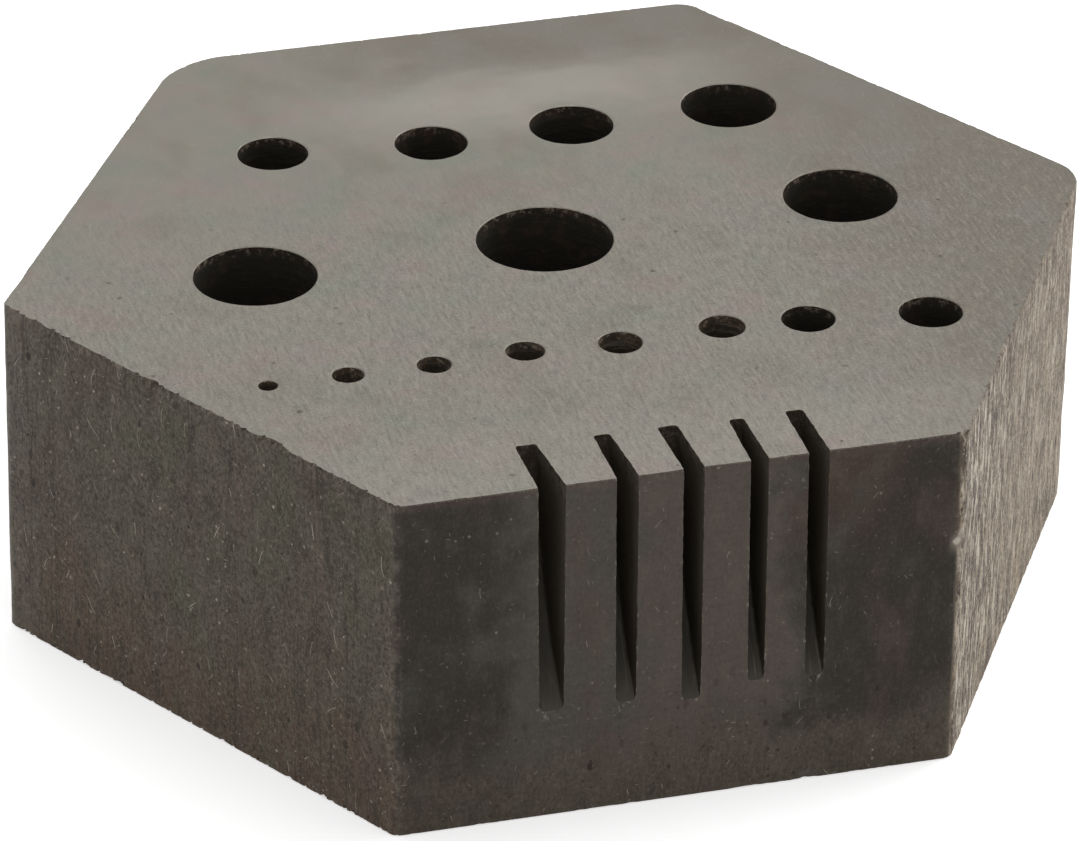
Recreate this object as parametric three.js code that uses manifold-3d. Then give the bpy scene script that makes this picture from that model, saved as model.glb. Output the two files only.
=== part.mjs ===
// Hexagonal bench anvil: one block cut from hexagonal steel bar, with three rows of through bores
// and a comb of saw slots in one side. Millimetres, +Z up, standing on Z = 0, slotted side to -Y.

import * as THREE from "three";
import { mergeVertices } from "three/addons/utils/BufferGeometryUtils.js";
import Module from "manifold-3d";

// Block
const sideCount = 6;
const acrossFlats = 40;
const blockHeight = 15;
const edgeBreak = 0.1;
// Upright corners, anticlockwise from the right one; the back left one is the most rounded
const cornerRadii = [2, 1.2, 3.6, 0.6, 0.5, 0.5];
// The bar was sawn a little out of square: how far its sides lean to the right, as a share of height
const leanShare = 0.0155;

// Bores, row by row from left to right: diameters, and centres as shares of the size across flats
const boreRows = [
  {
    diameters: [3, 3.1, 3.6, 4.1],
    alongShares: [-0.23, -0.062, 0.093, 0.268],
    inwardShares: [0.259, 0.241, 0.244, 0.246],
  },
  {
    diameters: [5.1, 5.7, 4.8],
    alongShares: [-0.309, -0.002, 0.322],
    inwardShares: [-0.004, -0.001, 0.015],
  },
  {
    diameters: [0.8, 1.3, 1.4, 1.6, 1.8, 1.9, 2.2, 2.6],
    alongShares: [-0.348, -0.266, -0.178, -0.083, 0.014, 0.122, 0.211, 0.335],
    inwardShares: [-0.232, -0.231, -0.232, -0.228, -0.235, -0.229, -0.235, -0.253],
  },
];

// Slots, left to right. A round saw cut each one: it runs in along the top face from the slotted
// side, and its floor swings down and out to leave that side at the foot height above the base.
const sawRadius = 17;
const slots = [
  { placeShare: -0.128, width: 1.1, run: 3.45, footHeight: 4.85 },
  { placeShare: -0.052, width: 0.9, run: 3.5, footHeight: 4.8 },
  { placeShare: 0.015, width: 0.85, run: 3.5, footHeight: 4.5 },
  { placeShare: 0.0815, width: 0.75, run: 3.35, footHeight: 4.95 },
  { placeShare: 0.142, width: 0.85, run: 3.45, footHeight: 4.8 },
];

// How far a bore cutter runs on past both faces
const overrun = 1;

// Facets
const cornerSteps = 6;
const boreSteps = 32;
const sawSteps = 96;

// Dark, dry steel
const steelColour = 0x67635b;
const steelRoughness = 0.6;
const steelMetalness = 0.8;

const wasm = await Module();
wasm.setup();

// A closed geometry as a body for cutting
function solidOf(geometry) {
  geometry.deleteAttribute("normal");
  geometry.deleteAttribute("uv");
  const merged = mergeVertices(geometry);
  const mesh = new wasm.Mesh({
    numProp: 3,
    vertProperties: merged.attributes.position.array,
    triVerts: new Uint32Array(merged.index.array),
  });
  return new wasm.Manifold(mesh);
}

// A finished body as a three.js geometry
function geometryOf(solid) {
  const { vertProperties, triVerts } = solid.getMesh();
  const geometry = new THREE.BufferGeometry();
  geometry.setAttribute("position", new THREE.BufferAttribute(vertProperties, 3));
  geometry.setIndex(new THREE.BufferAttribute(triVerts, 1));
  geometry.computeVertexNormals();
  return geometry;
}

// Outline of the bar: a regular hexagon with an arc at each corner
function barOutline() {
  const outline = new THREE.Shape();
  const halfTurn = Math.PI / sideCount;
  cornerRadii.forEach((radius, index) => {
    const bearing = 2 * halfTurn * index;
    const reach = (acrossFlats / 2 - radius) / Math.cos(halfTurn);
    const x = reach * Math.cos(bearing);
    const y = reach * Math.sin(bearing);
    outline.absarc(x, y, radius, bearing - halfTurn, bearing + halfTurn, false);
  });
  outline.closePath();
  return outline;
}

// The sawn-off length of bar, its top and bottom edges broken, leaning and then centred
function plainBlock() {
  const geometry = new THREE.ExtrudeGeometry(barOutline(), {
    depth: blockHeight - 2 * edgeBreak,
    curveSegments: cornerSteps,
    bevelEnabled: true,
    bevelSegments: 1,
    bevelThickness: edgeBreak,
    bevelSize: edgeBreak,
    bevelOffset: -edgeBreak,
  });
  geometry.applyMatrix4(new THREE.Matrix4().makeShear(0, 0, 0, 0, leanShare, 0));
  geometry.center();
  geometry.translate(0, 0, blockHeight / 2);
  return solidOf(geometry);
}

// A drill that passes right through the block
function boreCutter(diameter, x, y) {
  const length = blockHeight + 2 * overrun;
  const geometry = new THREE.CylinderGeometry(diameter / 2, diameter / 2, length, boreSteps);
  geometry.rotateX(Math.PI / 2);
  geometry.translate(x, y, blockHeight / 2);
  return solidOf(geometry);
}

// The round saw that cuts one slot. Its rim passes through the slot's inner end on the top face and
// through its foot on the slotted side, so its axle lies on the line square to that chord's middle.
function slotCutter({ placeShare, width, run, footHeight }) {
  const rise = blockHeight - footHeight;
  const chord = Math.hypot(run, rise);
  const offset = Math.sqrt(sawRadius ** 2 - (chord / 2) ** 2);
  const axleInward = run / 2 - (offset * rise) / chord;
  const axleHeight = footHeight + rise / 2 + (offset * run) / chord;
  const geometry = new THREE.CylinderGeometry(sawRadius, sawRadius, width, sawSteps);
  geometry.rotateZ(Math.PI / 2);
  geometry.translate(placeShare * acrossFlats, axleInward - acrossFlats / 2, axleHeight);
  return solidOf(geometry);
}

function boreCutters() {
  return boreRows.flatMap(({ diameters, alongShares, inwardShares }) =>
    diameters.map((diameter, index) => {
      const x = alongShares[index] * acrossFlats;
      const y = inwardShares[index] * acrossFlats;
      return boreCutter(diameter, x, y);
    })
  );
}

function steel() {
  return new THREE.MeshStandardMaterial({
    color: steelColour,
    roughness: steelRoughness,
    metalness: steelMetalness,
  });
}

function anvilBlock() {
  const cutters = [...boreCutters(), ...slots.map(slotCutter)];
  const solid = cutters.reduce((block, cutter) => block.subtract(cutter), plainBlock());
  const mesh = new THREE.Mesh(geometryOf(solid), steel());
  mesh.name = "anvil_block";
  return mesh;
}

const anvil = new THREE.Group();
anvil.add(anvilBlock());

export default anvil;
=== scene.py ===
import math

import bmesh
import bpy
from mathutils import Matrix, Vector, noise


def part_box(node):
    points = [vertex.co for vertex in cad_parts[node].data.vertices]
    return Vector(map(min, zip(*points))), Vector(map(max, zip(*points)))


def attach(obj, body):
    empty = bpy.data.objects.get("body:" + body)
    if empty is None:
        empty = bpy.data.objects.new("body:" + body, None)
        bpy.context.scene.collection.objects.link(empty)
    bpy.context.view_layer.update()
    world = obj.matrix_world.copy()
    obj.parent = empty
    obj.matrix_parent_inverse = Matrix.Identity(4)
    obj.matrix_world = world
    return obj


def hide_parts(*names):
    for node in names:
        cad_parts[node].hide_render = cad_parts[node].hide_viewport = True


# Hexagonal bench anvil: one block of hexagonal bar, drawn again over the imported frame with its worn
# edges, grain, bore mouths and ragged slots. Metres, like the frame; sizes are written in millimetres.
mm = 0.001

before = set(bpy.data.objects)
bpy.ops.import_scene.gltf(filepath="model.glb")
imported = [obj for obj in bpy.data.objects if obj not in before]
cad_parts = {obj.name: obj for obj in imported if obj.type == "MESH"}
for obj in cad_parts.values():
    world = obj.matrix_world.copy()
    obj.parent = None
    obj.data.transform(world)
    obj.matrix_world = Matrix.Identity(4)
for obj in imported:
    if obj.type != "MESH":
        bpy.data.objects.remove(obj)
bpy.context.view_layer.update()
lowest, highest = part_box("anvil_block")
across = highest.y - lowest.y
height = highest.z - lowest.z
sideLength = across / math.sqrt(3)
print("frame loaded, block", round(across / mm, 2), "mm across flats,", round(height / mm, 2), "mm high")


# Shader building

def addNode(tree, kind, **settings):
    node = tree.nodes.new(kind)
    for name, value in settings.items():
        setattr(node, name, value)
    return node


def plug(tree, socket, value):
    # a value is a number, a colour, or a socket to link from
    if isinstance(value, bpy.types.NodeSocket):
        tree.links.new(value, socket)
    else:
        socket.default_value = value


def setInputs(tree, node, values):
    for name, value in values.items():
        plug(tree, node.inputs[name], value)
    return node


def inMillimetres(tree):
    place = addNode(tree, "ShaderNodeTexCoord")
    scale = addNode(tree, "ShaderNodeMapping")
    scale.inputs["Scale"].default_value = (1 / mm, 1 / mm, 1 / mm)
    tree.links.new(place.outputs["Object"], scale.inputs["Vector"])
    return scale.outputs["Vector"]


def wallPlace(tree):
    # millimetres round the block and up it, from the wall's own map
    return addNode(tree, "ShaderNodeUVMap", uv_map="wall").outputs["UV"]


def axesOf(tree, place):
    axes = addNode(tree, "ShaderNodeSeparateXYZ")
    tree.links.new(place, axes.inputs["Vector"])
    return axes.outputs["X"], axes.outputs["Y"], axes.outputs["Z"]


def stretch(tree, vector, scale, shift=0.0, turn=0.0):
    mapping = addNode(tree, "ShaderNodeMapping")
    setInputs(tree, mapping, {
        "Vector": vector, "Scale": scale, "Rotation": (0, 0, turn), "Location": (shift, shift, shift),
    })
    return mapping.outputs["Vector"]


def drawnOut(tree, vector, share, shift=0.0, turn=0.0):
    # a pattern gets longer in its second direction as the share gets smaller
    return stretch(tree, vector, (1.0, share, 1.0), shift, turn)


def noiseValue(tree, vector, scale, detail=2.0, rough=0.5, twist=0.0):
    node = addNode(tree, "ShaderNodeTexNoise")
    setInputs(tree, node, {
        "Vector": vector, "Scale": scale, "Detail": detail, "Roughness": rough, "Distortion": twist,
    })
    return node.outputs["Fac"]


def spread(tree, value, low, high, outLow=0.0, outHigh=1.0):
    node = addNode(tree, "ShaderNodeMapRange", interpolation_type="SMOOTHSTEP")
    setInputs(tree, node, {
        "Value": value, "From Min": low, "From Max": high, "To Min": outLow, "To Max": outHigh,
    })
    return node.outputs["Result"]


def mathNode(tree, operation, first, second=0.0):
    node = addNode(tree, "ShaderNodeMath", operation=operation)
    plug(tree, node.inputs[0], first)
    plug(tree, node.inputs[1], second)
    return node.outputs["Value"]


def times(tree, first, second):
    return mathNode(tree, "MULTIPLY", first, second)


def plus(tree, first, second):
    return mathNode(tree, "ADD", first, second)


def minus(tree, first, second):
    return mathNode(tree, "SUBTRACT", first, second)


def larger(tree, first, second):
    return mathNode(tree, "MAXIMUM", first, second)


def between(tree, value, rise, fall):
    # comes up over the first pair of values and fades over the second
    return times(tree, spread(tree, value, *rise), spread(tree, value, *fall))


def swingOf(tree, cloud, reach):
    # a cloud as millimetres to either side, which takes a shade's border off the straight
    return times(tree, minus(tree, cloud, 0.5), reach)


def mixColour(tree, factor, first, second):
    # the colour mix has its factor at input 0, its colours at 6 and 7, and its result at output 2
    node = addNode(tree, "ShaderNodeMix", data_type="RGBA")
    for index, value in ((0, factor), (6, first), (7, second)):
        plug(tree, node.inputs[index], value)
    return node.outputs[2]


def masked(tree, base, mask, amount, tint, within=None):
    if within is not None:
        mask = times(tree, mask, within)
    return mixColour(tree, times(tree, mask, amount), base, tint)


def colour(red, green, blue):
    # a colour as the eye names it, 0 to 255, turned to the linear values that a shader takes
    def linear(part):
        part /= 255
        return part / 12.92 if part <= 0.04045 else ((part + 0.055) / 1.055) ** 2.4
    return (linear(red), linear(green), linear(blue), 1.0)


def newGroup(name, numbers, results, colours=()):
    # every group takes a place, then its colours and its numbers; one that takes colours gives a colour
    group = bpy.data.node_groups.new(name, "ShaderNodeTree")
    group.interface.new_socket("Place", in_out="INPUT", socket_type="NodeSocketVector")
    for label in colours:
        group.interface.new_socket(label, in_out="INPUT", socket_type="NodeSocketColor")
    for label, value in numbers.items():
        socket = group.interface.new_socket(label, in_out="INPUT", socket_type="NodeSocketFloat")
        socket.default_value = value
    for label in results:
        kind = "NodeSocketColor" if colours else "NodeSocketFloat"
        group.interface.new_socket(label, in_out="OUTPUT", socket_type=kind)
    return group, addNode(group, "NodeGroupInput").outputs, addNode(group, "NodeGroupOutput").inputs


def useGroup(tree, group, values):
    node = addNode(tree, "ShaderNodeGroup", node_tree=group)
    return setInputs(tree, node, values).outputs


def scatter(group, given):
    # cells laid at random, and each one's own random numbers
    cells = addNode(group, "ShaderNodeTexVoronoi", feature="F1", voronoi_dimensions="2D")
    setInputs(group, cells, {"Vector": given["Place"], "Scale": given["Fineness"], "Randomness": 1.0})
    parts = addNode(group, "ShaderNodeSeparateColor")
    group.links.new(cells.outputs["Color"], parts.inputs["Color"])
    return cells.outputs, parts.outputs


# Broad, faint drift of a metal's colour between a warm and a cool tint
def makeToneDrift():
    group, given, result = newGroup("toneDrift", {"Amount": 0.5, "Size": 3.0}, ["Colour"],
                                    ["Colour", "Warm", "Cool"])
    fineness = mathNode(group, "DIVIDE", 1.0, given["Size"])
    cloud = noiseValue(group, given["Place"], fineness, 3.0, 0.55)
    warmMask = times(group, spread(group, cloud, 0.52, 0.7), given["Amount"])
    coolMask = times(group, spread(group, cloud, 0.48, 0.3), given["Amount"])
    warmed = mixColour(group, warmMask, given["Colour"], given["Warm"])
    group.links.new(mixColour(group, coolMask, warmed, given["Cool"]), result["Colour"])
    return group


# Short hairline scratches laid over each other at several angles
def makeHairlines():
    group, given, result = newGroup("hairlines", {"Fineness": 6.0}, ["Mask"])
    total = None
    for turn, shift in ((0.35, 0.0), (1.25, 17.0), (2.2, 43.0), (2.9, 71.0)):
        turned = drawnOut(group, given["Place"], 0.14, shift, turn)
        fine = noiseValue(group, turned, given["Fineness"], 2.0, 0.6)
        line = spread(group, fine, 0.57, 0.72)
        total = line if total is None else plus(group, total, line)
    group.links.new(times(group, total, 0.5), result["Mask"])
    return group


# Small round or drawn-out spots, for pits, rust spots and dust
def makeSpecks():
    group, given, result = newGroup("specks", {"Fineness": 2.0, "Reach": 0.12, "Share": 0.3}, ["Mask"])
    wobble = noiseValue(group, given["Place"], 5.0, 2.0, 0.6)
    cells, parts = scatter(group, given)
    chosen = mathNode(group, "LESS_THAN", parts["Red"], given["Share"])
    size = times(group, given["Reach"], plus(group, parts["Green"], 0.4))
    size = times(group, size, plus(group, wobble, 0.5))
    spot = spread(group, cells["Distance"], size, times(group, size, 0.4))
    strength = times(group, chosen, plus(group, parts["Blue"], 0.2))
    group.links.new(times(group, spot, strength), result["Mask"])
    return group


# Single short fibres and scratches, each bent and turned its own way
def makeLint():
    numbers = {"Fineness": 0.8, "Length": 0.3, "Width": 0.02, "Share": 0.3, "Swing": math.pi}
    group, given, result = newGroup("lint", numbers, ["Mask"])
    cells, parts = scatter(group, given)
    swung = times(group, minus(group, parts["Green"], 0.5), given["Swing"])
    turned = addNode(group, "ShaderNodeVectorRotate", rotation_type="Z_AXIS")
    setInputs(group, turned, {
        "Vector": given["Place"], "Center": cells["Position"], "Angle": plus(group, swung, math.pi / 2),
    })
    apart = addNode(group, "ShaderNodeVectorMath", operation="SUBTRACT")
    group.links.new(turned.outputs["Vector"], apart.inputs[0])
    group.links.new(cells["Position"], apart.inputs[1])
    x, y = axesOf(group, apart.outputs["Vector"])[:2]
    bend = times(group, minus(group, parts["Blue"], 0.5), 0.9)
    curve = times(group, bend, times(group, x, x))
    aside = mathNode(group, "ABSOLUTE", minus(group, y, curve))
    reach = times(group, given["Length"], plus(group, parts["Blue"], 0.4))
    along = minus(group, reach, mathNode(group, "ABSOLUTE", x))
    within = minus(group, given["Width"], aside)
    line = times(group, spread(group, within, 0.0, 0.015), spread(group, along, 0.0, 0.08))
    chosen = mathNode(group, "LESS_THAN", parts["Red"], given["Share"])
    group.links.new(times(group, line, chosen), result["Mask"])
    return group


# Upright grain that rolled bar shows along its length
def makeBarGrain():
    group, given, result = newGroup("barGrain", {"Fineness": 2.0}, ["Streak", "Thread", "Crack", "Hairline"])
    place, fineness = given["Place"], given["Fineness"]
    streak = noiseValue(group, drawnOut(group, place, 0.22), times(group, fineness, 0.6), 6.0, 0.72, 0.3)
    thread = noiseValue(group, drawnOut(group, place, 0.42, 31.0), times(group, fineness, 2.2), 4.0, 0.7, 0.2)
    crack = noiseValue(group, drawnOut(group, place, 0.2, 57.0), times(group, fineness, 1.5), 4.0, 0.62, 0.4)
    # a hairline follows a level line of a long, drawn-out field
    long = noiseValue(group, drawnOut(group, place, 0.03, 83.0), times(group, fineness, 0.5), 2.0)
    line = spread(group, mathNode(group, "ABSOLUTE", minus(group, long, 0.5)), 0.016, 0.003)
    kept = spread(group, noiseValue(group, drawnOut(group, place, 0.2, 11.0), 0.35), 0.44, 0.56)
    group.links.new(spread(group, streak, 0.42, 0.6), result["Streak"])
    group.links.new(spread(group, thread, 0.38, 0.62), result["Thread"])
    group.links.new(spread(group, crack, 0.58, 0.66), result["Crack"])
    group.links.new(times(group, line, kept), result["Hairline"])
    return group


# Close mottling of a scaled surface, with dark pits that gather in places
def makeMottle():
    group, given, result = newGroup("mottle", {"Fineness": 6.0}, ["Dark", "Light", "Pit"])
    place = drawnOut(group, given["Place"], 0.7)
    cloud = noiseValue(group, place, given["Fineness"], 6.0, 0.85)
    pit = noiseValue(group, place, times(group, given["Fineness"], 1.6), 3.0, 0.6)
    gather = spread(group, noiseValue(group, given["Place"], 0.5, 4.0, 0.6), 0.42, 0.62, 0.09, 0.0)
    group.links.new(spread(group, cloud, 0.5, 0.62), result["Dark"])
    group.links.new(spread(group, cloud, 0.5, 0.38), result["Light"])
    group.links.new(spread(group, minus(group, pit, gather), 0.6, 0.66), result["Pit"])
    return group


toneDrift = makeToneDrift()
hairlines = makeHairlines()
specks = makeSpecks()
lint = makeLint()
barGrain = makeBarGrain()
mottle = makeMottle()


def newMaterial(look):
    material = bpy.data.materials.new(look["name"])
    material.use_nodes = True
    shader = material.node_tree.nodes["Principled BSDF"]
    shader.inputs["Metallic"].default_value = look["metallic"]
    shader.inputs["Specular IOR Level"].default_value = look["specular"]
    shader.inputs["Roughness"].default_value = look["roughness"]
    return material, material.node_tree, shader


def bumpInto(tree, shader, depth, height):
    bump = addNode(tree, "ShaderNodeBump")
    setInputs(tree, bump, {"Height": height, "Distance": depth, "Strength": 1.0})
    tree.links.new(bump.outputs["Normal"], shader.inputs["Normal"])


groundTop = {
    "name": "groundTop",
    "base": colour(142, 138, 127),
    "warm": colour(149, 135, 129),
    "cool": colour(134, 137, 124),
    "drift": 0.9,
    "driftSize": 3.0,
    "blue": colour(134, 131, 125),
    "smear": colour(176, 170, 161),
    "dull": colour(123, 116, 105),
    "scratchFineness": 6.0,
    "dark": colour(82, 76, 67),
    "light": colour(178, 173, 162),
    "metallic": 0.45,
    "specular": 0.5,
    "roughness": 0.55,
    "bumpDepth": 0.008 * mm,
    # millimetres from the middle, to the right or to the back, over which a shade comes up or fades
    "swing": 6.0,
    "smearBack": ((8.5, 13.0), (18.0, 13.6)),
    "smearRight": ((-10.0, -1.0), (15.0, 4.0)),
    "dullRight": (6.0, 18.0),
    "dullBack": (13.0, 17.0),
    "dullBackRight": (-9.0, 2.0),
    "paleFront": (-14.0, -17.5),
    "crisp": (12.0, -4.0),
}


def topShades(tree, place, look):
    # paler behind the back row of bores, duller towards the right and the back, faintly blue in places
    toned = useGroup(tree, toneDrift, {
        "Place": place, "Colour": look["base"], "Warm": look["warm"], "Cool": look["cool"],
        "Amount": look["drift"], "Size": look["driftSize"],
    })["Colour"]
    x, y = axesOf(tree, place)[:2]
    cloud = noiseValue(tree, stretch(tree, place, (0.5, 1.0, 1.0)), 0.5, 3.0)
    swing = swingOf(tree, cloud, look["swing"])
    right = spread(tree, plus(tree, x, swing), *look["dullRight"])
    far = times(tree, spread(tree, y, *look["dullBack"]), spread(tree, x, *look["dullBackRight"]))
    toned = masked(tree, toned, larger(tree, right, far), 0.85, look["dull"])
    haze = noiseValue(tree, drawnOut(tree, place, 0.7, turn=0.5), 0.5, 2.0, 0.4)
    toned = masked(tree, toned, spread(tree, haze, 0.42, 0.75), 0.5, look["blue"])
    toned = masked(tree, toned, spread(tree, haze, 0.55, 0.25), 0.4, look["dull"])
    behind = between(tree, plus(tree, y, swing), *look["smearBack"])
    beside = between(tree, x, *look["smearRight"])
    toned = masked(tree, toned, behind, 0.5, look["smear"], beside)
    toned = masked(tree, toned, spread(tree, y, *look["paleFront"]), 0.15, look["smear"])
    # the grinding marks are crisp towards the slots and rubbed away towards the back
    return toned, spread(tree, y, *look["crisp"], 0.12, 1.0)


def makeGroundTop(look):
    material, tree, shader = newMaterial(look)
    place = inMillimetres(tree)
    toned, crisp = topShades(tree, place, look)
    # grinding strokes run across the block, towards the slotted side
    strokes = noiseValue(tree, drawnOut(tree, place, 0.2, turn=0.06), 6.0, 4.0, 0.72)
    grit = noiseValue(tree, place, 8.0, 3.0, 0.8)
    for fine, reach in ((strokes, 0.16), (grit, 0.18)):
        toned = masked(tree, toned, spread(tree, fine, 0.5, 0.5 - reach), 0.3, look["dark"], crisp)
        toned = masked(tree, toned, spread(tree, fine, 0.5, 0.5 + reach), 0.3, look["light"], crisp)
    lines = useGroup(tree, hairlines, {"Place": place, "Fineness": look["scratchFineness"]})["Mask"]
    toned = masked(tree, toned, lines, 0.24, look["dark"], crisp)
    scuffs = useGroup(tree, lint, {
        "Place": place, "Fineness": 1.7, "Length": 0.24, "Width": 0.018, "Share": 0.5,
    })["Mask"]
    toned = masked(tree, toned, scuffs, 0.5, look["dark"], crisp)
    gleams = useGroup(tree, lint, {
        "Place": drawnOut(tree, place, 1.0, 9.0, 1.0), "Fineness": 1.9, "Length": 0.2, "Width": 0.014,
        "Share": 0.4,
    })["Mask"]
    toned = masked(tree, toned, gleams, 0.5, look["light"])
    spots = useGroup(tree, specks, {"Place": place, "Fineness": 0.6, "Reach": 0.08, "Share": 0.22})["Mask"]
    toned = masked(tree, toned, spots, 0.7, look["dark"], crisp)
    tree.links.new(toned, shader.inputs["Base Color"])
    tree.links.new(spread(tree, strokes, 0.3, 0.7, look["roughness"] - 0.06, look["roughness"] + 0.08),
                   shader.inputs["Roughness"])
    relief = minus(tree, plus(tree, strokes, times(tree, grit, 0.5)), times(tree, lines, 0.6))
    bumpInto(tree, shader, look["bumpDepth"], times(tree, relief, crisp))
    return material


scaledSide = {
    "name": "scaledSide",
    "base": colour(86, 79, 67),
    "brown": colour(92, 72, 58),
    # the slotted side's base is darker than the other sides', partly its own colour and partly painted shade
    "frontShadedBase": colour(73, 69, 63),
    "frontDull": colour(38, 32, 27),
    "frontBrown": colour(84, 74, 64),
    # the pale side's light colours are partly painted sheen, for the grazing light on that side, and partly
    # its own blotches and grain
    "paleSheenBase": colour(158, 142, 120),
    "paleWarm": colour(128, 111, 91),
    "warm": colour(88, 69, 62),
    "cool": colour(81, 81, 61),
    "frontWarm": colour(81, 66, 59),
    "frontCool": colour(69, 68, 60),
    "frontRose": colour(90, 75, 69),
    "frontRust": colour(76, 57, 47),
    "edge": colour(104, 97, 88),
    "light": colour(118, 111, 98),
    "drift": 0.8,
    "driftSize": 2.5,
    "grainFineness": 1.8,
    "mottleFineness": 5.0,
    "dark": colour(41, 31, 22),
    "paleDark": colour(50, 31, 15),
    "paleLight": colour(206, 196, 180),
    "lint": colour(184, 175, 160),
    "worn": colour(130, 121, 111),
    "metallic": 0.3,
    "specular": 0.3,
    "roughness": 0.62,
    "bumpDepth": 0.03 * mm,
    # millimetres to the right of the slotted side's middle, over which a shade comes up or fades
    "rosy": ((-2.6, -1.0), (4.8, 3.2)),
    "rusty": ((4.6, 6.0), (10.0, 7.6)),
    "dullLeft": (-5.5, -8.5),
    "dullRight": (3.4, 6.6),
    "dullCorner": (8.2, 11.0),
    # millimetres up the side, and how far a cloud moves the border
    "rustyUp": (9.5, 13.0),
    "frontFoot": (4.4, 1.0),
    "frontSwing": 7.0,
    "leftFoot": (6.6, 1.6),
    "leftSwing": 12.0,
    "paleUp": (3.0, 13.0),
    "pitsUp": (6.5, 3.5),
    # millimetres from a side's left corner
    "edgeBeside": (3.0, 0.5),
    "uncracked": (3.0, 13.0),
}


def frontShades(tree, place, along, up, look):
    # the slotted side: a rosy tint over the middle slots, a rusty one high up beside the last slot,
    # duller towards both ends and browner towards the foot
    middle = minus(tree, along, 4 * sideLength / mm)
    swing = swingOf(tree, noiseValue(tree, place, 0.45, 2.0), look["frontSwing"])
    swung = plus(tree, middle, swing)
    ends = larger(tree, spread(tree, swung, *look["dullLeft"]), spread(tree, swung, *look["dullRight"]))
    # painted shade: the slotted side starts from a darker base than the others, partly its own colour
    shade = masked(tree, look["frontShadedBase"], between(tree, swung, *look["rosy"]), 0.42, look["frontRose"])
    shade = masked(tree, shade, ends, 0.9, look["frontDull"])
    high = spread(tree, up, *look["rustyUp"])
    shade = masked(tree, shade, between(tree, swung, *look["rusty"]), 0.55, look["frontRust"], high)
    shade = masked(tree, shade, spread(tree, middle, *look["dullCorner"]), 0.5, look["frontDull"])
    foot = spread(tree, plus(tree, up, swing), *look["frontFoot"])
    return masked(tree, shade, foot, 0.75, look["frontBrown"]), foot


def leftShades(tree, place, along, up, look):
    # the other sides: browner towards the foot, paler beside the left corner
    swing = swingOf(tree, noiseValue(tree, place, 0.35, 3.0), look["leftSwing"])
    foot = spread(tree, plus(tree, up, swing), *look["leftFoot"])
    shade = masked(tree, look["base"], foot, 0.8, look["brown"])
    corner = minus(tree, along, 2.5 * sideLength / mm)
    return masked(tree, shade, spread(tree, corner, *look["edgeBeside"]), 0.75, look["edge"])


def sideBase(tree, side, front, look):
    # each side's colour, drifting between warm and cool, under the pale side's light colour, which is partly
    # painted sheen over its own grain
    pale, smooth = side["pale"], side["smooth"]
    plain = leftShades(tree, side["place"], side["along"], side["up"], look)
    toned = useGroup(tree, toneDrift, {
        "Place": drawnOut(tree, side["place"], 0.5), "Colour": mixColour(tree, smooth, plain, front),
        "Warm": mixColour(tree, smooth, look["warm"], look["frontWarm"]),
        "Cool": mixColour(tree, smooth, look["cool"], look["frontCool"]),
        "Amount": minus(tree, look["drift"], times(tree, smooth, 0.3)),
        "Size": look["driftSize"],
    })["Colour"]
    # painted sheen: the pale side's light base, with its own blotches
    paleTone = mixColour(tree, spread(tree, side["blotch"], 0.45, 0.62), look["paleSheenBase"], look["paleWarm"])
    paleTone = masked(tree, paleTone, spread(tree, side["up"], *look["paleUp"]), 0.8, look["paleWarm"])
    return mixColour(tree, pale, toned, paleTone)


def softShades(tree, toned, side):
    # long soft shades, first on the pale side alone
    place, dark, light = side["place"], side["dark"], side["light"]
    soft = noiseValue(tree, drawnOut(tree, place, 0.45, 29.0), 0.9, 3.0)
    toned = masked(tree, toned, spread(tree, soft, 0.5, 0.66), 0.3, dark, side["pale"])
    toned = masked(tree, toned, spread(tree, soft, 0.46, 0.34), 0.35, light, side["pale"])
    broad = noiseValue(tree, drawnOut(tree, place, 0.5, 7.0), 1.0, 2.0)
    toned = masked(tree, toned, spread(tree, broad, 0.5, 0.7), 0.3, dark, side["rough"])
    stain = noiseValue(tree, drawnOut(tree, place, 0.5, 17.0), 1.4, 3.0, 0.6)
    toned = masked(tree, toned, spread(tree, stain, 0.52, 0.66), 0.36, dark, side["rough"])
    return masked(tree, toned, spread(tree, stain, 0.46, 0.36), 0.22, light, side["rough"])


def grainShades(tree, toned, side, look):
    # upright grain and cracks, then mottling, scores and grit
    place, rough, dark, light = side["place"], side["rough"], side["dark"], side["light"]
    grain, close = side["grain"], side["close"]
    # on the pale side the cracks are sharp beside the slotted side and give way to soft shades beyond
    beyond = spread(tree, minus(tree, side["along"], 4.5 * sideLength / mm), *look["uncracked"])
    cracked = times(tree, side["pale"], minus(tree, 1.0, times(tree, beyond, 0.6)))
    fibrous = minus(tree, rough, times(tree, side["smooth"], 0.2))
    strong = times(tree, fibrous, plus(tree, cracked, 0.15))
    for label, amount in (("Streak", 0.3), ("Thread", 0.12), ("Crack", 0.8)):
        toned = masked(tree, toned, grain[label], amount, dark, strong)
    toned = masked(tree, toned, grain["Hairline"], 0.5, dark, fibrous)
    split = noiseValue(tree, drawnOut(tree, place, 0.24, 41.0), 3.4, 4.0, 0.65)
    toned = masked(tree, toned, spread(tree, split, 0.52, 0.58), 1.0, dark, cracked)
    toned = masked(tree, toned, spread(tree, split, 0.47, 0.4), 0.8, light, cracked)
    toned = masked(tree, toned, close["Dark"], 0.24, dark, rough)
    toned = masked(tree, toned, close["Light"], 0.22, light, rough)
    scores = noiseValue(tree, drawnOut(tree, place, 0.14, 3.0), 9.0, 3.0, 0.7)
    # the dark grains gather in upright bands
    banded = times(tree, rough, plus(tree, grain["Streak"], 0.4))
    for fine, reach, amount in ((scores, 0.16, 0.16), (side["grit"], 0.13, 0.42)):
        toned = masked(tree, toned, spread(tree, fine, 0.5, 0.5 - reach), amount, dark, banded)
        toned = masked(tree, toned, spread(tree, fine, 0.5, 0.5 + reach), amount * 0.8, light, rough)
    return toned


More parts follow.
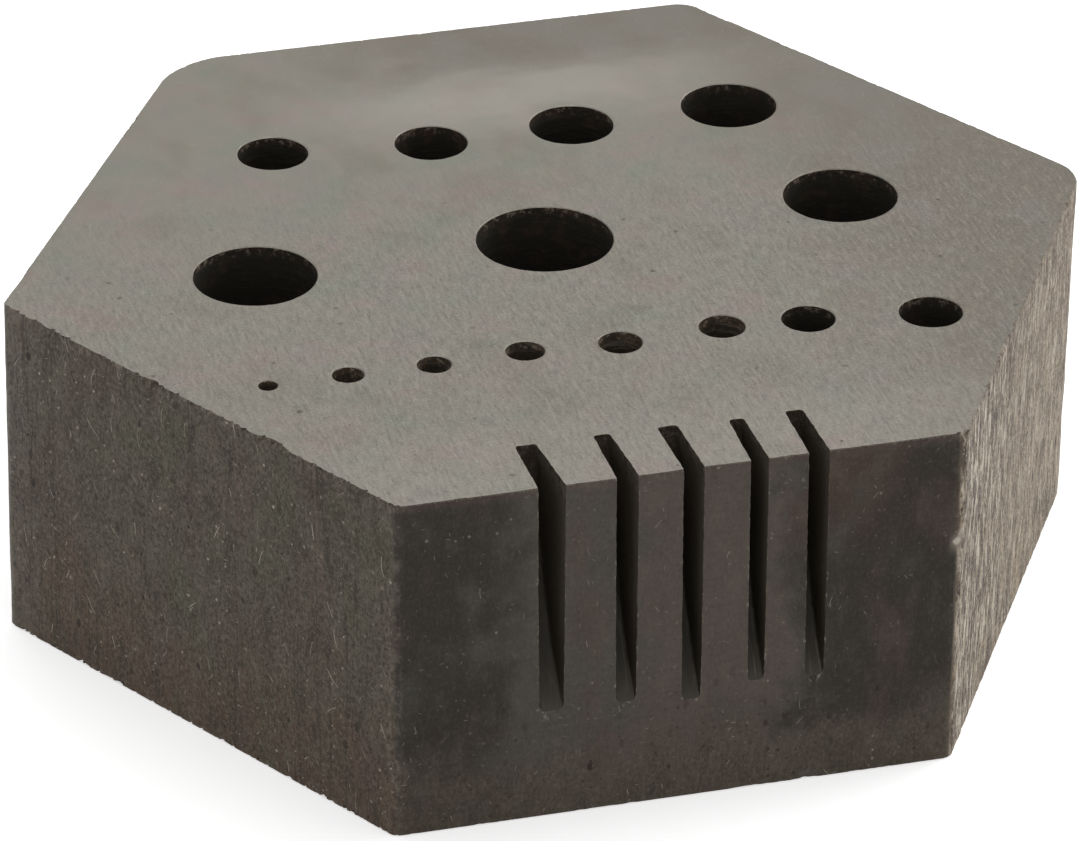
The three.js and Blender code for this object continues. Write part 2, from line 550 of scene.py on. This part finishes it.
def pitShades(tree, toned, side, look):
    # pits, which gather in places and keep to the foot of the smooth side, and faint marks across it
    place, smooth = side["place"], side["smooth"]
    toned = masked(tree, toned, side["close"]["Pit"], 0.75, side["dark"], side["rough"])
    pits = useGroup(tree, specks, {
        "Place": drawnOut(tree, place, 0.6), "Fineness": 1.5, "Reach": 0.22, "Share": 0.34,
    })["Mask"]
    pinholes = useGroup(tree, specks, {"Place": place, "Fineness": 2.6, "Reach": 0.2, "Share": 0.34})["Mask"]
    sunkShare = larger(tree, spread(tree, side["up"], *look["pitsUp"]), minus(tree, 1.0, smooth))
    gathered = times(tree, sunkShare, spread(tree, side["blotch"], 0.62, 0.4, 0.3, 1.0))
    toned = masked(tree, toned, larger(tree, pits, pinholes), 0.8, look["dark"], gathered)
    level = noiseValue(tree, stretch(tree, place, (0.25, 2.2, 1.0)), 3.0, 3.0, 0.6)
    return masked(tree, toned, spread(tree, level, 0.5, 0.65), 0.09, side["dark"], smooth)


def wornShades(tree, toned, side, marks, look):
    # steel bared at corners, edges, knocks and slot rims, and a broken line of painted shadow close under the
    # top face, for the shadowed nicks
    rough = side["rough"]
    patch = noiseValue(tree, drawnOut(tree, side["place"], 0.6), 3.2, 5.0, 0.8)
    topmost = spread(tree, side["up"], height / mm - 0.5, height / mm - 0.05)
    nickShadows = times(tree, spread(tree, patch, 0.48, 0.42), rough)
    # painted shadow: dark patches just under the top edge stand for the shade in the nicks
    toned = masked(tree, toned, topmost, 0.6, side["dark"], nickShadows)
    toned = masked(tree, toned, topmost, 0.4, look["frontWarm"], side["smooth"])
    rubbed = times(tree, marks["upright"], spread(tree, patch, 0.48, 0.6, 0.08, 0.7))
    crumbs = times(tree, times(tree, topmost, spread(tree, patch, 0.53, 0.59)), rough)
    worn = times(tree, marks["wornEdge"], spread(tree, side["grit"], 0.4, 0.6, 0.1, 0.8))
    bright = larger(tree, larger(tree, rubbed, crumbs), worn)
    toned = masked(tree, toned, larger(tree, marks["bared"], bright), 0.6, look["worn"])
    toned = masked(tree, toned, spread(tree, marks["bared"], 1.0, 1.3), 0.85, look["lint"])
    return masked(tree, toned, marks["rim"], 0.4, look["lint"], spread(tree, patch, 0.54, 0.6))


def dustShades(tree, toned, side, look):
    place, smooth = side["place"], side["smooth"]
    fibres = useGroup(tree, lint, {
        "Place": place, "Fineness": 0.7, "Width": 0.025, "Swing": 1.7,
        "Length": minus(tree, 0.36, times(tree, smooth, 0.16)),
        "Share": minus(tree, 0.5, times(tree, smooth, 0.2)),
    })["Mask"]
    short = useGroup(tree, lint, {
        "Place": drawnOut(tree, place, 1.0, 5.0, 0.6), "Fineness": 1.7, "Length": 0.09, "Width": 0.022,
        "Share": 0.5,
    })["Mask"]
    dots = useGroup(tree, specks, {
        "Place": place, "Fineness": 1.8, "Reach": 0.12, "Share": minus(tree, 0.34, times(tree, smooth, 0.2)),
    })["Mask"]
    dust = larger(tree, larger(tree, fibres, dots), short)
    dust = times(tree, dust, spread(tree, side["blotch"], 0.42, 0.58, 0.25, 1.0))
    settled = plus(tree, times(tree, side["rough"], 0.75), 0.15)
    return masked(tree, toned, dust, 0.75, look["lint"], settled)


def sideRelief(tree, side):
    grain, close = side["grain"], side["close"]
    relief = times(tree, plus(tree, grain["Streak"], grain["Thread"]), 0.4)
    relief = times(tree, plus(tree, relief, grain["Crack"]), plus(tree, side["pale"], 0.3))
    relief = plus(tree, relief, times(tree, close["Dark"], 0.4))
    relief = times(tree, plus(tree, relief, close["Pit"]), side["rough"])
    return times(tree, relief, -1.0)


def makeScaledSide(look):
    material, tree, shader = newMaterial(look)
    place = wallPlace(tree)
    along, up = axesOf(tree, place)[:2]
    marks = {name: addNode(tree, "ShaderNodeAttribute", attribute_name=name).outputs["Fac"]
             for name in ("paleSide", "smoothSide", "wornEdge", "upright", "rim", "bared")}
    pale, smooth = marks["paleSide"], marks["smoothSide"]
    front, foot = frontShades(tree, place, along, up, look)
    smoothness = minus(tree, 0.72, times(tree, foot, 0.3))
    # what every layer of the side reads
    side = {
        "place": place, "along": along, "up": up, "pale": pale, "smooth": smooth,
        "rough": minus(tree, 1.0, times(tree, smooth, smoothness)),
        "dark": mixColour(tree, pale, look["dark"], look["paleDark"]),
        "light": mixColour(tree, pale, look["light"], look["paleLight"]),
        "blotch": noiseValue(tree, drawnOut(tree, place, 0.6), 0.5, 3.0),
        "grit": noiseValue(tree, drawnOut(tree, place, 0.6, 23.0), 8.0, 3.0, 0.8),
        "grain": useGroup(tree, barGrain, {"Place": place, "Fineness": look["grainFineness"]}),
        "close": useGroup(tree, mottle, {"Place": place, "Fineness": look["mottleFineness"]}),
    }
    toned = sideBase(tree, side, front, look)
    toned = softShades(tree, toned, side)
    toned = grainShades(tree, toned, side, look)
    toned = pitShades(tree, toned, side, look)
    toned = wornShades(tree, toned, side, marks, look)
    toned = dustShades(tree, toned, side, look)
    tree.links.new(toned, shader.inputs["Base Color"])
    bumpInto(tree, shader, look["bumpDepth"], sideRelief(tree, side))
    return material


# painted shade: the bore walls' dark base colour stands for the shade deep in the holes; the small bores
# below take a paler copy, painted light where more light reaches their shallow walls
boreWall = {
    "name": "boreWall",
    "base": colour(50, 48, 42),
    "rust": colour(82, 62, 52),
    "fleckAndGlint": colour(136, 128, 115),
    "rings": 0.06,
    "fringe": 0.55,
    "metallic": 0.2,
    "specular": 0.2,
    "roughness": 0.6,
    "bumpDepth": 0.02 * mm,
}

smallBoreWall = {
    **boreWall,
    "name": "smallBoreWall",
    "base": colour(76, 70, 61),
    "rust": colour(104, 86, 70),
    "fleckAndGlint": colour(164, 155, 141),
    "rings": 0.4,
    "fringe": 0.9,
    "roughness": 0.5,
    "bumpDepth": 0.03 * mm,
}


def makeBoreWall(look):
    material, tree, shader = newMaterial(look)
    place = inMillimetres(tree)
    cloud = noiseValue(tree, place, 1.4, 4.0, 0.6)
    # the dark base is painted shade of the hole, clouded with rust
    shade = mixColour(tree, spread(tree, cloud, 0.5, 0.75, 0.0, 0.6), look["base"], look["rust"])
    # faint drill rings round the wall, and a rusty fringe with bright crumbs close under the mouth; the
    # bright flecks on the rings and crumbs are partly painted glints
    rings = noiseValue(tree, stretch(tree, place, (0.25, 0.25, 2.2)), 3.0, 4.0, 0.7)
    shade = masked(tree, shade, spread(tree, rings, 0.52, 0.64), look["rings"], look["fleckAndGlint"])
    crumbs = noiseValue(tree, place, 3.2, 4.0, 0.75)
    up = axesOf(tree, place)[2]
    near = spread(tree, up, height / mm - look["fringe"], height / mm - 0.05)
    for low, high, tint in ((0.45, 0.55, look["rust"]), (0.55, 0.6, look["fleckAndGlint"])):
        shade = masked(tree, shade, spread(tree, crumbs, low, high), 0.9, tint, near)
    tree.links.new(shade, shader.inputs["Base Color"])
    relief = plus(tree, rings, noiseValue(tree, place, 5.0, 3.0, 0.6))
    bumpInto(tree, shader, look["bumpDepth"], relief)
    return material


slotWall = {
    "name": "slotWall",
    # painted shade at the foot of the cheeks, where the floor lights them, and painted light higher up, where
    # they lie in shade
    "cheek": colour(58, 52, 43),
    "shade": colour(84, 77, 67),
    "floor": colour(74, 70, 63),
    "darkAndShade": colour(66, 56, 44),
    "scratch": colour(116, 108, 98),
    "pit": colour(44, 37, 29),
    # millimetres above the underside, over which the cheeks get paler and the floor darker: painted light
    # high on the cheeks, and rust with painted shade at the floor's inner end
    "cheekUp": (6.0, 10.0),
    "floorUp": (8.0, 13.0),
    "metallic": 0.25,
    "specular": 0.2,
    "roughness": 0.6,
    "bumpDepth": 0.02 * mm,
}


def makeSlotWall(look):
    material, tree, shader = newMaterial(look)
    place = inMillimetres(tree)
    up = axesOf(tree, place)[2]
    floor = addNode(tree, "ShaderNodeAttribute", attribute_name="slotFloor").outputs["Fac"]
    # saw marks run down the floor, which darkens towards its inner end under the top face with rust and
    # painted shade
    saws = noiseValue(tree, stretch(tree, place, (1.0, 0.12, 0.06)), 7.0, 3.0, 0.65)
    marked = masked(tree, look["floor"], spread(tree, saws, 0.42, 0.25), 0.5, look["darkAndShade"])
    marked = masked(tree, marked, spread(tree, saws, 0.55, 0.75), 0.5, look["scratch"])
    marked = masked(tree, marked, spread(tree, up, *look["floorUp"]), 0.9, look["darkAndShade"])
    # painted shade low on the cheeks and painted light higher up
    cheek = mixColour(tree, spread(tree, up, *look["cheekUp"]), look["cheek"], look["shade"])
    # torn steel close under the top face
    torn = noiseValue(tree, place, 3.6, 4.0, 0.75)
    near = spread(tree, up, height / mm - 1.4, height / mm - 0.1)
    walls = mixColour(tree, floor, cheek, marked)
    walls = masked(tree, walls, spread(tree, torn, 0.5, 0.6), 0.5, look["scratch"], near)
    walls = masked(tree, walls, spread(tree, torn, 0.48, 0.38), 0.7, look["pit"], near)
    tree.links.new(walls, shader.inputs["Base Color"])
    bumpInto(tree, shader, look["bumpDepth"], saws)
    return material


# Block mesh

block = {
    "cornerRadii": [2.0 * mm, 1.2 * mm, 3.6 * mm, 0.6 * mm, 0.5 * mm, 0.5 * mm],
    "cornerStep": 0.1 * mm,
    "leanShare": 0.0155,
    "wallStep": 0.1 * mm,
    "wallLevels": 42,
    "levelCrowding": 0.86,
    "roundEnd": 0.03 * mm,
    "chipDepth": 1.5,
    "splitDepth": 3.0,
    "cornerDings": 0.06 * mm,
    "sharpAngle": 40,
}

# material slots, in the order in which makeAnvil fills them
finishes = {"top": 0, "side": 1, "bore": 2, "slot": 3, "smallBore": 4}

# the sides go round anticlockwise from the back right one
slottedSide = 4
paleSide = 5

# wear of each side: how ragged its top and bottom edges are, how long the nicks run, and how deep the
# upright grain is
sideWear = [
    {"nick": 0.08, "pitch": 0.7, "grain": 0.03},
    {"nick": 0.10, "pitch": 0.5, "grain": 0.014},
    {"nick": 0.10, "pitch": 0.5, "grain": 0.014},
    {"nick": 0.34, "pitch": 0.5, "grain": 0.012},
    {"nick": 0.06, "pitch": 0.7, "grain": 0.003},
    {"nick": 0.1, "pitch": 0.6, "grain": 0.04},
]

# single knocks: where each one is on the block, how far it reaches, how deep it goes, and how far it
# has bared the steel
dents = [
    {"place": (-18.4, -7.9, 14.9), "reach": 0.45, "depth": 0.22, "bared": 0.3},
    {"place": (-17.7, -9.2, 14.7), "reach": 0.35, "depth": 0.12, "bared": 0.4},
    {"place": (-19.7, -5.9, 14.8), "reach": 0.5, "depth": 0.1, "bared": 0.3},
    {"place": (-22.7, -0.6, 15.0), "reach": 0.8, "depth": 0.12, "bared": 1.0},
    {"place": (-21.9, -1.9, 15.0), "reach": 0.6, "depth": 0.12, "bared": 0.6},
    {"place": (11.6, -19.9, 15.0), "reach": 0.4, "depth": 0.16, "bared": 0.0},
    {"place": (11.5, -19.9, 9.95), "reach": 0.4, "depth": 0.1, "bared": 1.8},
    {"place": (-11.5, -19.9, 10.9), "reach": 0.4, "depth": 0.08, "bared": 0.7},
    {"place": (-11.5, -19.9, 8.3), "reach": 0.35, "depth": 0.08, "bared": 0.7},
    {"place": (-11.4, -19.9, 12.4), "reach": 0.3, "depth": 0.05, "bared": 1.0},
    {"place": (5.5, -20.0, 0.0), "reach": 0.5, "depth": 0.12, "bared": 0.6},
    {"place": (23.0, 0.3, 11.9), "reach": 0.5, "depth": 0.12, "bared": 0.0},
]

bores = [
    {"diameters": (3.0, 3.1, 3.6, 4.1), "along": (-0.23, -0.062, 0.093, 0.268),
     "inward": (0.259, 0.241, 0.244, 0.246)},
    {"diameters": (5.1, 5.7, 4.8), "along": (-0.309, -0.002, 0.322), "inward": (-0.004, -0.001, 0.015)},
    {"diameters": (0.8, 1.3, 1.4, 1.6, 1.8, 1.9, 2.2, 2.6),
     "along": (-0.348, -0.266, -0.178, -0.083, 0.014, 0.122, 0.211, 0.335),
     "inward": (-0.232, -0.231, -0.232, -0.228, -0.235, -0.229, -0.235, -0.253)},
]
boreMouth = {"flare": 0.035 * mm, "chip": 0.45 * mm, "ring": 0.015 * mm, "ringPitch": 0.3 * mm,
             "ringCount": 10, "waver": 0.006, "step": 0.12 * mm, "leastSteps": 28, "small": 1.05 * mm}

# each slot narrows and drifts a little to the left towards its inner end
slots = [
    {"along": -0.128, "width": 1.1, "run": 3.45, "foot": 4.85, "taper": 0.22, "drift": 0.17},
    {"along": -0.052, "width": 0.9, "run": 3.5, "foot": 4.8, "taper": 0.23, "drift": 0.11},
    {"along": 0.015, "width": 0.85, "run": 3.5, "foot": 4.5, "taper": 0.03, "drift": 0.12},
    {"along": 0.0815, "width": 0.75, "run": 3.35, "foot": 4.95, "taper": 0.2, "drift": 0.0},
    {"along": 0.142, "width": 0.85, "run": 3.45, "foot": 4.8, "taper": 0.13, "drift": 0.03},
]
saw = {"radius": 17 * mm, "hub": 12 * mm, "corner": 0.16 * mm, "ringStep": 0.2 * mm, "turnStep": 0.45,
       "wander": 0.012 * mm, "fray": 0.03 * mm, "rough": 0.03 * mm, "margin": 4, "footTaper": 0.1}


def sideNormal(index):
    bearing = math.radians(30 + 60 * index)
    return Vector((math.cos(bearing), math.sin(bearing), 0))


sideNormals = [sideNormal(index) for index in range(6)]


def meshFrom(bm, name):
    mesh = bpy.data.meshes.new(name)
    bm.to_mesh(mesh)
    bm.free()
    return mesh


def unevenness(place, fineness, drawn=1.0):
    # smooth random field, -1 to 1, that varies over 1/fineness millimetres
    scaled = Vector((place.x, place.y, place.z * drawn)) * (fineness / mm)
    return noise.noise(scaled)


def barOutline(bm):
    bmesh.ops.create_circle(bm, segments=6, radius=sideLength)
    bmesh.ops.rotate(bm, verts=bm.verts, cent=(0, 0, 0), matrix=Matrix.Rotation(math.pi / 6, 3, "Z"))
    corners = {round(math.atan2(v.co.y, v.co.x) / (math.pi / 3)) % 6: v for v in bm.verts}
    for index, radius in enumerate(block["cornerRadii"]):
        bmesh.ops.bevel(
            bm, geom=[corners[index]], offset=radius * math.tan(math.pi / 6), offset_type="OFFSET",
            segments=max(6, round(radius * math.pi / 3 / block["cornerStep"])), profile=0.5,
            affect="VERTICES", material=-1,
        )
    sides = [e for e in bm.edges if e.calc_length() > across / 4]
    cuts = round(sides[0].calc_length() / block["wallStep"]) - 1
    bmesh.ops.subdivide_edges(bm, edges=sides, cuts=cuts)


def raiseWalls(bm):
    raised = bmesh.ops.extrude_edge_only(bm, edges=bm.edges[:])["geom"]
    tops = [part for part in raised if isinstance(part, bmesh.types.BMVert)]
    bmesh.ops.translate(bm, verts=tops, vec=(0, 0, height))
    uprights = [e for e in bm.edges if abs(e.verts[0].co.z - e.verts[1].co.z) > height / 2]
    bmesh.ops.subdivide_edges(bm, edges=uprights, cuts=block["wallLevels"] - 1, use_grid_fill=True)
    middle = (max(v.co.x for v in bm.verts) + min(v.co.x for v in bm.verts)) / 2
    for v in bm.verts:
        # crowd the levels towards the top and bottom edges, where the wear is
        share = v.co.z / height
        v.co.z = height * (share - block["levelCrowding"] * math.sin(2 * math.pi * share) / (2 * math.pi))
        v.co.x += block["leanShare"] * (v.co.z - height / 2) - middle


def wearAt(normal):
    # the two sides that a direction lies between, and how far it has turned to the second
    turn = (math.degrees(math.atan2(normal.y, normal.x)) - 30) / 60 % 6
    first = int(turn) % 6
    share = turn - int(turn)
    near, far = sideWear[first], sideWear[(first + 1) % 6]
    mixed = {key: near[key] * (1 - share) + far[key] * share for key in near}
    mixed["corner"] = 4 * share * (1 - share)
    return mixed


def dentShare(dent, place):
    # 1 in the middle of a knock, 0 beyond its reach
    apart = (place - Vector(dent["place"]) * mm).length / (dent["reach"] * mm)
    return max(0.0, 1 - apart * apart)


def wearDepth(place, normal):
    wear = wearAt(normal)
    fromEnd = min(place.z, height - place.z)
    ragged = 0.6 * unevenness(place, 1 / wear["pitch"]) + unevenness(place, 3.1 / wear["pitch"]) - 0.15
    chips = max(0.0, unevenness(place + Vector((0, 0, 0.1)), 0.5) - 0.2)
    edge = block["roundEnd"] + mm * wear["nick"] * (max(0.0, ragged) + block["chipDepth"] * chips)
    depth = max(0.0, edge - fromEnd)
    streak = unevenness(place, 1.7, 0.22) + 0.8 * unevenness(place, 4.2, 0.2)
    depth += mm * wear["grain"] * max(0.0, 0.5 + 0.5 * streak)
    split = unevenness(place + Vector((0.05, 0, 0)), 1.9, 0.16)
    depth += mm * wear["grain"] * block["splitDepth"] * max(0.0, split - 0.42)
    ding = max(0.0, unevenness(place, 0.7) - 0.1) + max(0.0, 0.4 * unevenness(place, 2.5, 0.6))
    depth += block["cornerDings"] * wear["corner"] * ding
    for dent in dents:
        hollow = dentShare(dent, place) * (1 + 0.5 * unevenness(place, 4.0))
        depth = max(depth, dent["depth"] * mm * hollow)
    return depth


def wearWalls(bm):
    bmesh.ops.recalc_face_normals(bm, faces=bm.faces[:])
    bm.normal_update()
    shifts = {}
    for v in bm.verts:
        outward = Vector((v.normal.x, v.normal.y, 0)).normalized()
        if outward.dot(v.co) < 0:
            outward = -outward
        shifts[v] = outward * -wearDepth(v.co, outward)
    for v, shift in shifts.items():
        v.co += shift


def makeBlock():
    bm = bmesh.new()
    barOutline(bm)
    raiseWalls(bm)
    wearWalls(bm)
    for face in bm.faces:
        face.material_index = finishes["side"]
        face.smooth = True
    caps = bmesh.ops.holes_fill(bm, edges=bm.edges[:], sides=0)["faces"]
    for face in caps:
        face.material_index = finishes["top"]
        face.smooth = False
    bmesh.ops.recalc_face_normals(bm, faces=bm.faces[:])
    return meshFrom(bm, "anvilBlock")


def addBoreCutter(bm, x, y, radius):
    flare, chip = boreMouth["flare"], boreMouth["chip"]
    rings = [(radius + boreMouth["ring"] * (step % 2), height - 2 * flare - step * boreMouth["ringPitch"])
             for step in range(boreMouth["ringCount"])]
    profile = [(radius + 2 * flare, height + flare), (radius, height - flare), *rings,
               (radius, flare), (radius + 2 * flare, -flare)]
    verts = [bm.verts.new((x + r, y, z)) for r, z in profile]
    edges = [bm.edges.new(pair) for pair in zip(verts, verts[1:])]
    bmesh.ops.spin(bm, geom=verts + edges, cent=(x, y, 0), axis=(0, 0, 1), angle=2 * math.pi,
                   steps=max(boreMouth["leastSteps"], round(2 * math.pi * radius / boreMouth["step"])),
                   use_merge=True)
    for v in [v for v in bm.verts if not v.tag]:
        v.tag = True
        outward = Vector((v.co.x - x, v.co.y - y, 0)).normalized()
        torn = max(0.0, unevenness(v.co, 0.8) - 0.02) * (0.5 + max(0.0, 2 * unevenness(v.co, 3.7)))
        torn += 0.12 * max(0.0, unevenness(v.co, 3.0))
        if abs(v.co.z - height / 2) > height / 2 + flare / 2:
            v.co += outward * chip * torn
        else:
            v.co += outward * boreMouth["waver"] * mm * unevenness(v.co, 2.5)
    for face in bm.faces:
        if not face.tag:
            face.tag = True
            wall = "bore" if radius > boreMouth["small"] else "smallBore"
            face.material_index = finishes["top" if abs(face.normal.z) > 0.3 else wall]


def sawProfile(width):
    # half the blade's cut edge, out from the hub, then mirrored to the other cheek
    radius, corner = saw["radius"], saw["corner"]
    count = round((radius - corner - saw["hub"]) / saw["ringStep"])
    ring = (radius - corner - saw["hub"]) / count
    cheek = [(width / 2, saw["hub"] + ring * step) for step in range(count + 1)]
    cheek += [(width / 2 - 0.3 * corner, radius - 0.3 * corner), (width / 2 - corner, radius)]
    cheek += [(width / 6, radius)]
    return cheek + [(-x, r) for x, r in reversed(cheek)]


def addSlotCutter(bm, slot):
    run, foot, width = slot["run"] * mm, slot["foot"] * mm, slot["width"] * mm
    rise = height - foot
    chord = math.hypot(run, rise)
    offset = math.sqrt(saw["radius"] ** 2 - (chord / 2) ** 2)
    axle = Vector((slot["along"] * across, run / 2 - offset * rise / chord - across / 2,
                   foot + rise / 2 + offset * run / chord))
    start = math.degrees(math.atan2(height - axle.z, run - across / 2 - axle.y)) + saw["margin"]
    sweep = start - math.degrees(math.atan2(foot - axle.z, -across / 2 - axle.y)) + saw["margin"]
    verts = []
    for x, r in sawProfile(width):
        rim = Vector((x, r * math.cos(math.radians(start)), r * math.sin(math.radians(start))))
        verts.append(bm.verts.new(axle + rim))
    edges = [bm.edges.new(pair) for pair in zip(verts, verts[1:] + verts[:1])]
    bmesh.ops.spin(bm, geom=verts + edges, cent=axle, axis=(-1, 0, 0), angle=math.radians(sweep),
                   steps=round(sweep / saw["turnStep"]))
    for v in [v for v in bm.verts if not v.tag]:
        v.tag = True
        inwards = min(1.0, max(0.0, (v.co.y + across / 2) / run))
        aside = v.co.x - axle.x
        cheek = math.copysign(1.0, aside)
        fray = saw["wander"] * unevenness(v.co, 0.8) + saw["fray"] * unevenness(v.co, 4.1)
        low = min(1.0, max(0.0, (height - v.co.z) / (height - foot)))
        narrowed = aside * (1 - slot["taper"] * inwards) * (1 - saw["footTaper"] * low * low)
        narrowed += cheek * fray * min(1.0, abs(aside) / (width / 3))
        v.co.x = axle.x + narrowed - slot["drift"] * mm * inwards
        v.co.y += saw["rough"] * unevenness(v.co, 2.0) * inwards
    for face in bm.faces:
        if not face.tag:
            face.tag = True
            face.material_index = finishes["slot"]


def makeCutters():
    bm = bmesh.new()
    for row in bores:
        for diameter, along, inward in zip(row["diameters"], row["along"], row["inward"]):
            addBoreCutter(bm, along * across, inward * across, diameter * mm / 2)
    for slot in slots:
        addSlotCutter(bm, slot)
    bmesh.ops.holes_fill(bm, edges=bm.edges[:], sides=0)
    bmesh.ops.recalc_face_normals(bm, faces=bm.faces[:])
    for face in bm.faces:
        face.smooth = True
    return meshFrom(bm, "cutters")


def addObject(name, data):
    piece = bpy.data.objects.new(name, data)
    bpy.context.scene.collection.objects.link(piece)
    return piece


def ease(value, low, high):
    share = min(1.0, max(0.0, (value - low) / (high - low)))
    return share * share * (3 - 2 * share)


def markSides(mesh):
    # how far each point belongs to the pale grained side, to the smooth slotted side, to an upright
    # corner, to a knock that bared the steel, and to the rim of a slot
    marks = {name: [] for name in ("paleSide", "smoothSide", "upright", "bared")}
    for vertex in mesh.vertices:
        reach = [vertex.co.dot(normal) for normal in sideNormals]
        # the corner between the slotted side and the pale one is less rubbed than the others
        rubbed = 0.35 if min(reach[slottedSide], reach[paleSide]) > max(reach[:slottedSide]) else 1.0
        for name, side in (("smoothSide", slottedSide), ("paleSide", paleSide)):
            rest = max(reach[index] for index in range(6) if index != side)
            marks[name].append(ease(reach[side] - rest, -0.12 * mm, 0.12 * mm))
        second, first = sorted(reach)[-2:]
        marks["upright"].append(rubbed * ease(second - first, -0.45 * mm, -0.1 * mm))
        marks["bared"].append(max(dent["bared"] * dentShare(dent, vertex.co) for dent in dents))
    marks["rim"] = [0.0] * len(mesh.vertices)
    for face in mesh.polygons:
        if face.material_index == finishes["slot"]:
            for index in face.vertices:
                marks["rim"][index] = 1.0
    for name, values in marks.items():
        mesh.attributes.new(name, "FLOAT", "POINT").data.foreach_set("value", values)


def mapWalls(mesh):
    # millimetres along each side and up it
    wall = mesh.uv_layers.new(name="wall")
    worn = mesh.attributes.new("wornEdge", "FLOAT", "FACE")
    floor = mesh.attributes.new("slotFloor", "FLOAT", "FACE")
    for face in mesh.polygons:
        worn.data[face.index].value = ease(abs(face.normal.z), 0.15, 0.5)
        floor.data[face.index].value = ease(abs(face.normal.x), 0.8, 0.5)
        side = max(range(6), key=lambda index: face.center.dot(sideNormals[index]))
        tangent = Vector((-sideNormals[side].y, sideNormals[side].x, 0))
        for loop in face.loop_indices:
            co = mesh.vertices[mesh.loops[loop].vertex_index].co
            wall.data[loop].uv = ((co.dot(tangent) + side * sideLength) / mm, co.z / mm)


def divideFaces(mesh):
    # the cut leaves slivers that fold flat onto a many-sided face when it is divided into triangles, so such
    # faces are divided here
    bm = bmesh.new()
    bm.from_mesh(mesh)
    bmesh.ops.triangulate(bm, faces=[face for face in bm.faces if len(face.verts) > 4])
    bm.to_mesh(mesh)
    bm.free()


def makeAnvil():
    piece = addObject("anvilBlock", makeBlock())
    cutter = addObject("cutters", makeCutters())
    looks = [makeGroundTop(groundTop), makeScaledSide(scaledSide), makeBoreWall(boreWall),
             makeSlotWall(slotWall), makeBoreWall(smallBoreWall)]
    for each in (piece, cutter):
        for material in looks:
            each.data.materials.append(material)
    cut = piece.modifiers.new("cut", "BOOLEAN")
    cut.operation = "DIFFERENCE"
    cut.solver = "EXACT"
    cut.object = cutter
    graph = bpy.context.evaluated_depsgraph_get()
    finished = bpy.data.meshes.new_from_object(piece.evaluated_get(graph))
    piece.modifiers.clear()
    piece.data = finished
    bpy.data.objects.remove(cutter)
    finished.name = "anvilBlock"
    divideFaces(finished)
    markSides(finished)
    mapWalls(finished)
    finished.set_sharp_from_angle(angle=math.radians(block["sharpAngle"]))
    for face in finished.polygons:
        if abs(face.normal.z) > 0.999:
            face.use_smooth = False
    finished.calc_loop_triangles()
    print("anvil block", len(finished.loop_triangles), "triangles")
    return piece


anvil = makeAnvil()
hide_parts("anvil_block")
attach(anvil, "root")


# Floor, light and camera

studio = {
    "floorSize": 3.0,
    "floorColour": (0.9, 0.9, 0.9, 1.0),
    "floorGlow": 0.5,
    "floorGap": 0.02 * mm,
    "floorPaint": {"name": "floorPaint", "metallic": 0.0, "specular": 0.5, "roughness": 0.9},
    "worldLevel": 0.55,
}


def makeFloor():
    bm = bmesh.new()
    bmesh.ops.create_grid(bm, x_segments=1, y_segments=1, size=studio["floorSize"] / 2)
    floor = addObject("floor", meshFrom(bm, "floor"))
    # a hair under the block, so that the two flat faces don't share a plane
    floor.location.z = -studio["floorGap"]
    material, tree, shader = newMaterial(studio["floorPaint"])
    shader.inputs["Base Color"].default_value = studio["floorColour"]
    shader.inputs["Emission Color"].default_value = (1, 1, 1, 1)
    path = addNode(tree, "ShaderNodeLightPath")
    seen = larger(tree, path.outputs["Is Camera Ray"], path.outputs["Is Glossy Ray"])
    seen = larger(tree, seen, path.outputs["Is Transmission Ray"])
    tree.links.new(times(tree, seen, studio["floorGlow"]), shader.inputs["Emission Strength"])
    floor.data.materials.append(material)


def makeWorld():
    world = bpy.data.worlds.new("studio")
    bpy.context.scene.world = world
    world.use_nodes = True
    background = world.node_tree.nodes["Background"]
    background.inputs["Color"].default_value = (1, 1, 1, 1)
    background.inputs["Strength"].default_value = studio["worldLevel"]


softLights = [
    {"name": "above", "place": (0.05, 0.15, 0.55), "size": 0.5, "power": 1.2},
    {"name": "right", "place": (0.5, 0.1, 0.25), "size": 0.35, "power": 1.2},
]


def addSoftLight(light):
    lamp = bpy.data.lights.new(light["name"], "AREA")
    lamp.shape = "SQUARE"
    lamp.size = light["size"]
    lamp.energy = light["power"]
    holder = addObject(light["name"], lamp)
    holder.location = light["place"]
    holder.rotation_euler = (-Vector(light["place"])).to_track_quat("-Z", "Y").to_euler()


# a long lens, close over the block and a little to the left of its slotted side
viewpoint = {
    "azimuth": -15.0266,
    "elevation": 29.3192,
    "roll": 0.1392,
    "distance": 283.2275 * mm,
    "aim": (-0.3513 * mm, -0.4528 * mm, 6.657 * mm),
    "lens": 225.48,
    "sensor": 36.0,
}


def addCamera(view):
    azimuth, elevation = math.radians(view["azimuth"]), math.radians(view["elevation"])
    level = math.cos(elevation)
    towards = Vector((math.sin(azimuth) * level, -math.cos(azimuth) * level, math.sin(elevation)))
    lens = bpy.data.cameras.new("viewpoint")
    lens.lens = view["lens"]
    lens.sensor_width = view["sensor"]
    lens.sensor_fit = "HORIZONTAL"
    lens.clip_start = 0.01
    holder = addObject("viewpoint", lens)
    holder.location = Vector(view["aim"]) + towards * view["distance"]
    facing = (-towards).to_track_quat("-Z", "Y").to_matrix().to_4x4()
    roll = Matrix.Rotation(math.radians(view["roll"]), 4, "Z")
    holder.rotation_euler = (facing @ roll).to_euler()
    bpy.context.scene.camera = holder


makeFloor()
makeWorld()
for light in softLights:
    addSoftLight(light)
addCamera(viewpoint)
bpy.context.scene.view_settings.view_transform = "Standard"
print("floor, lights and camera in place")
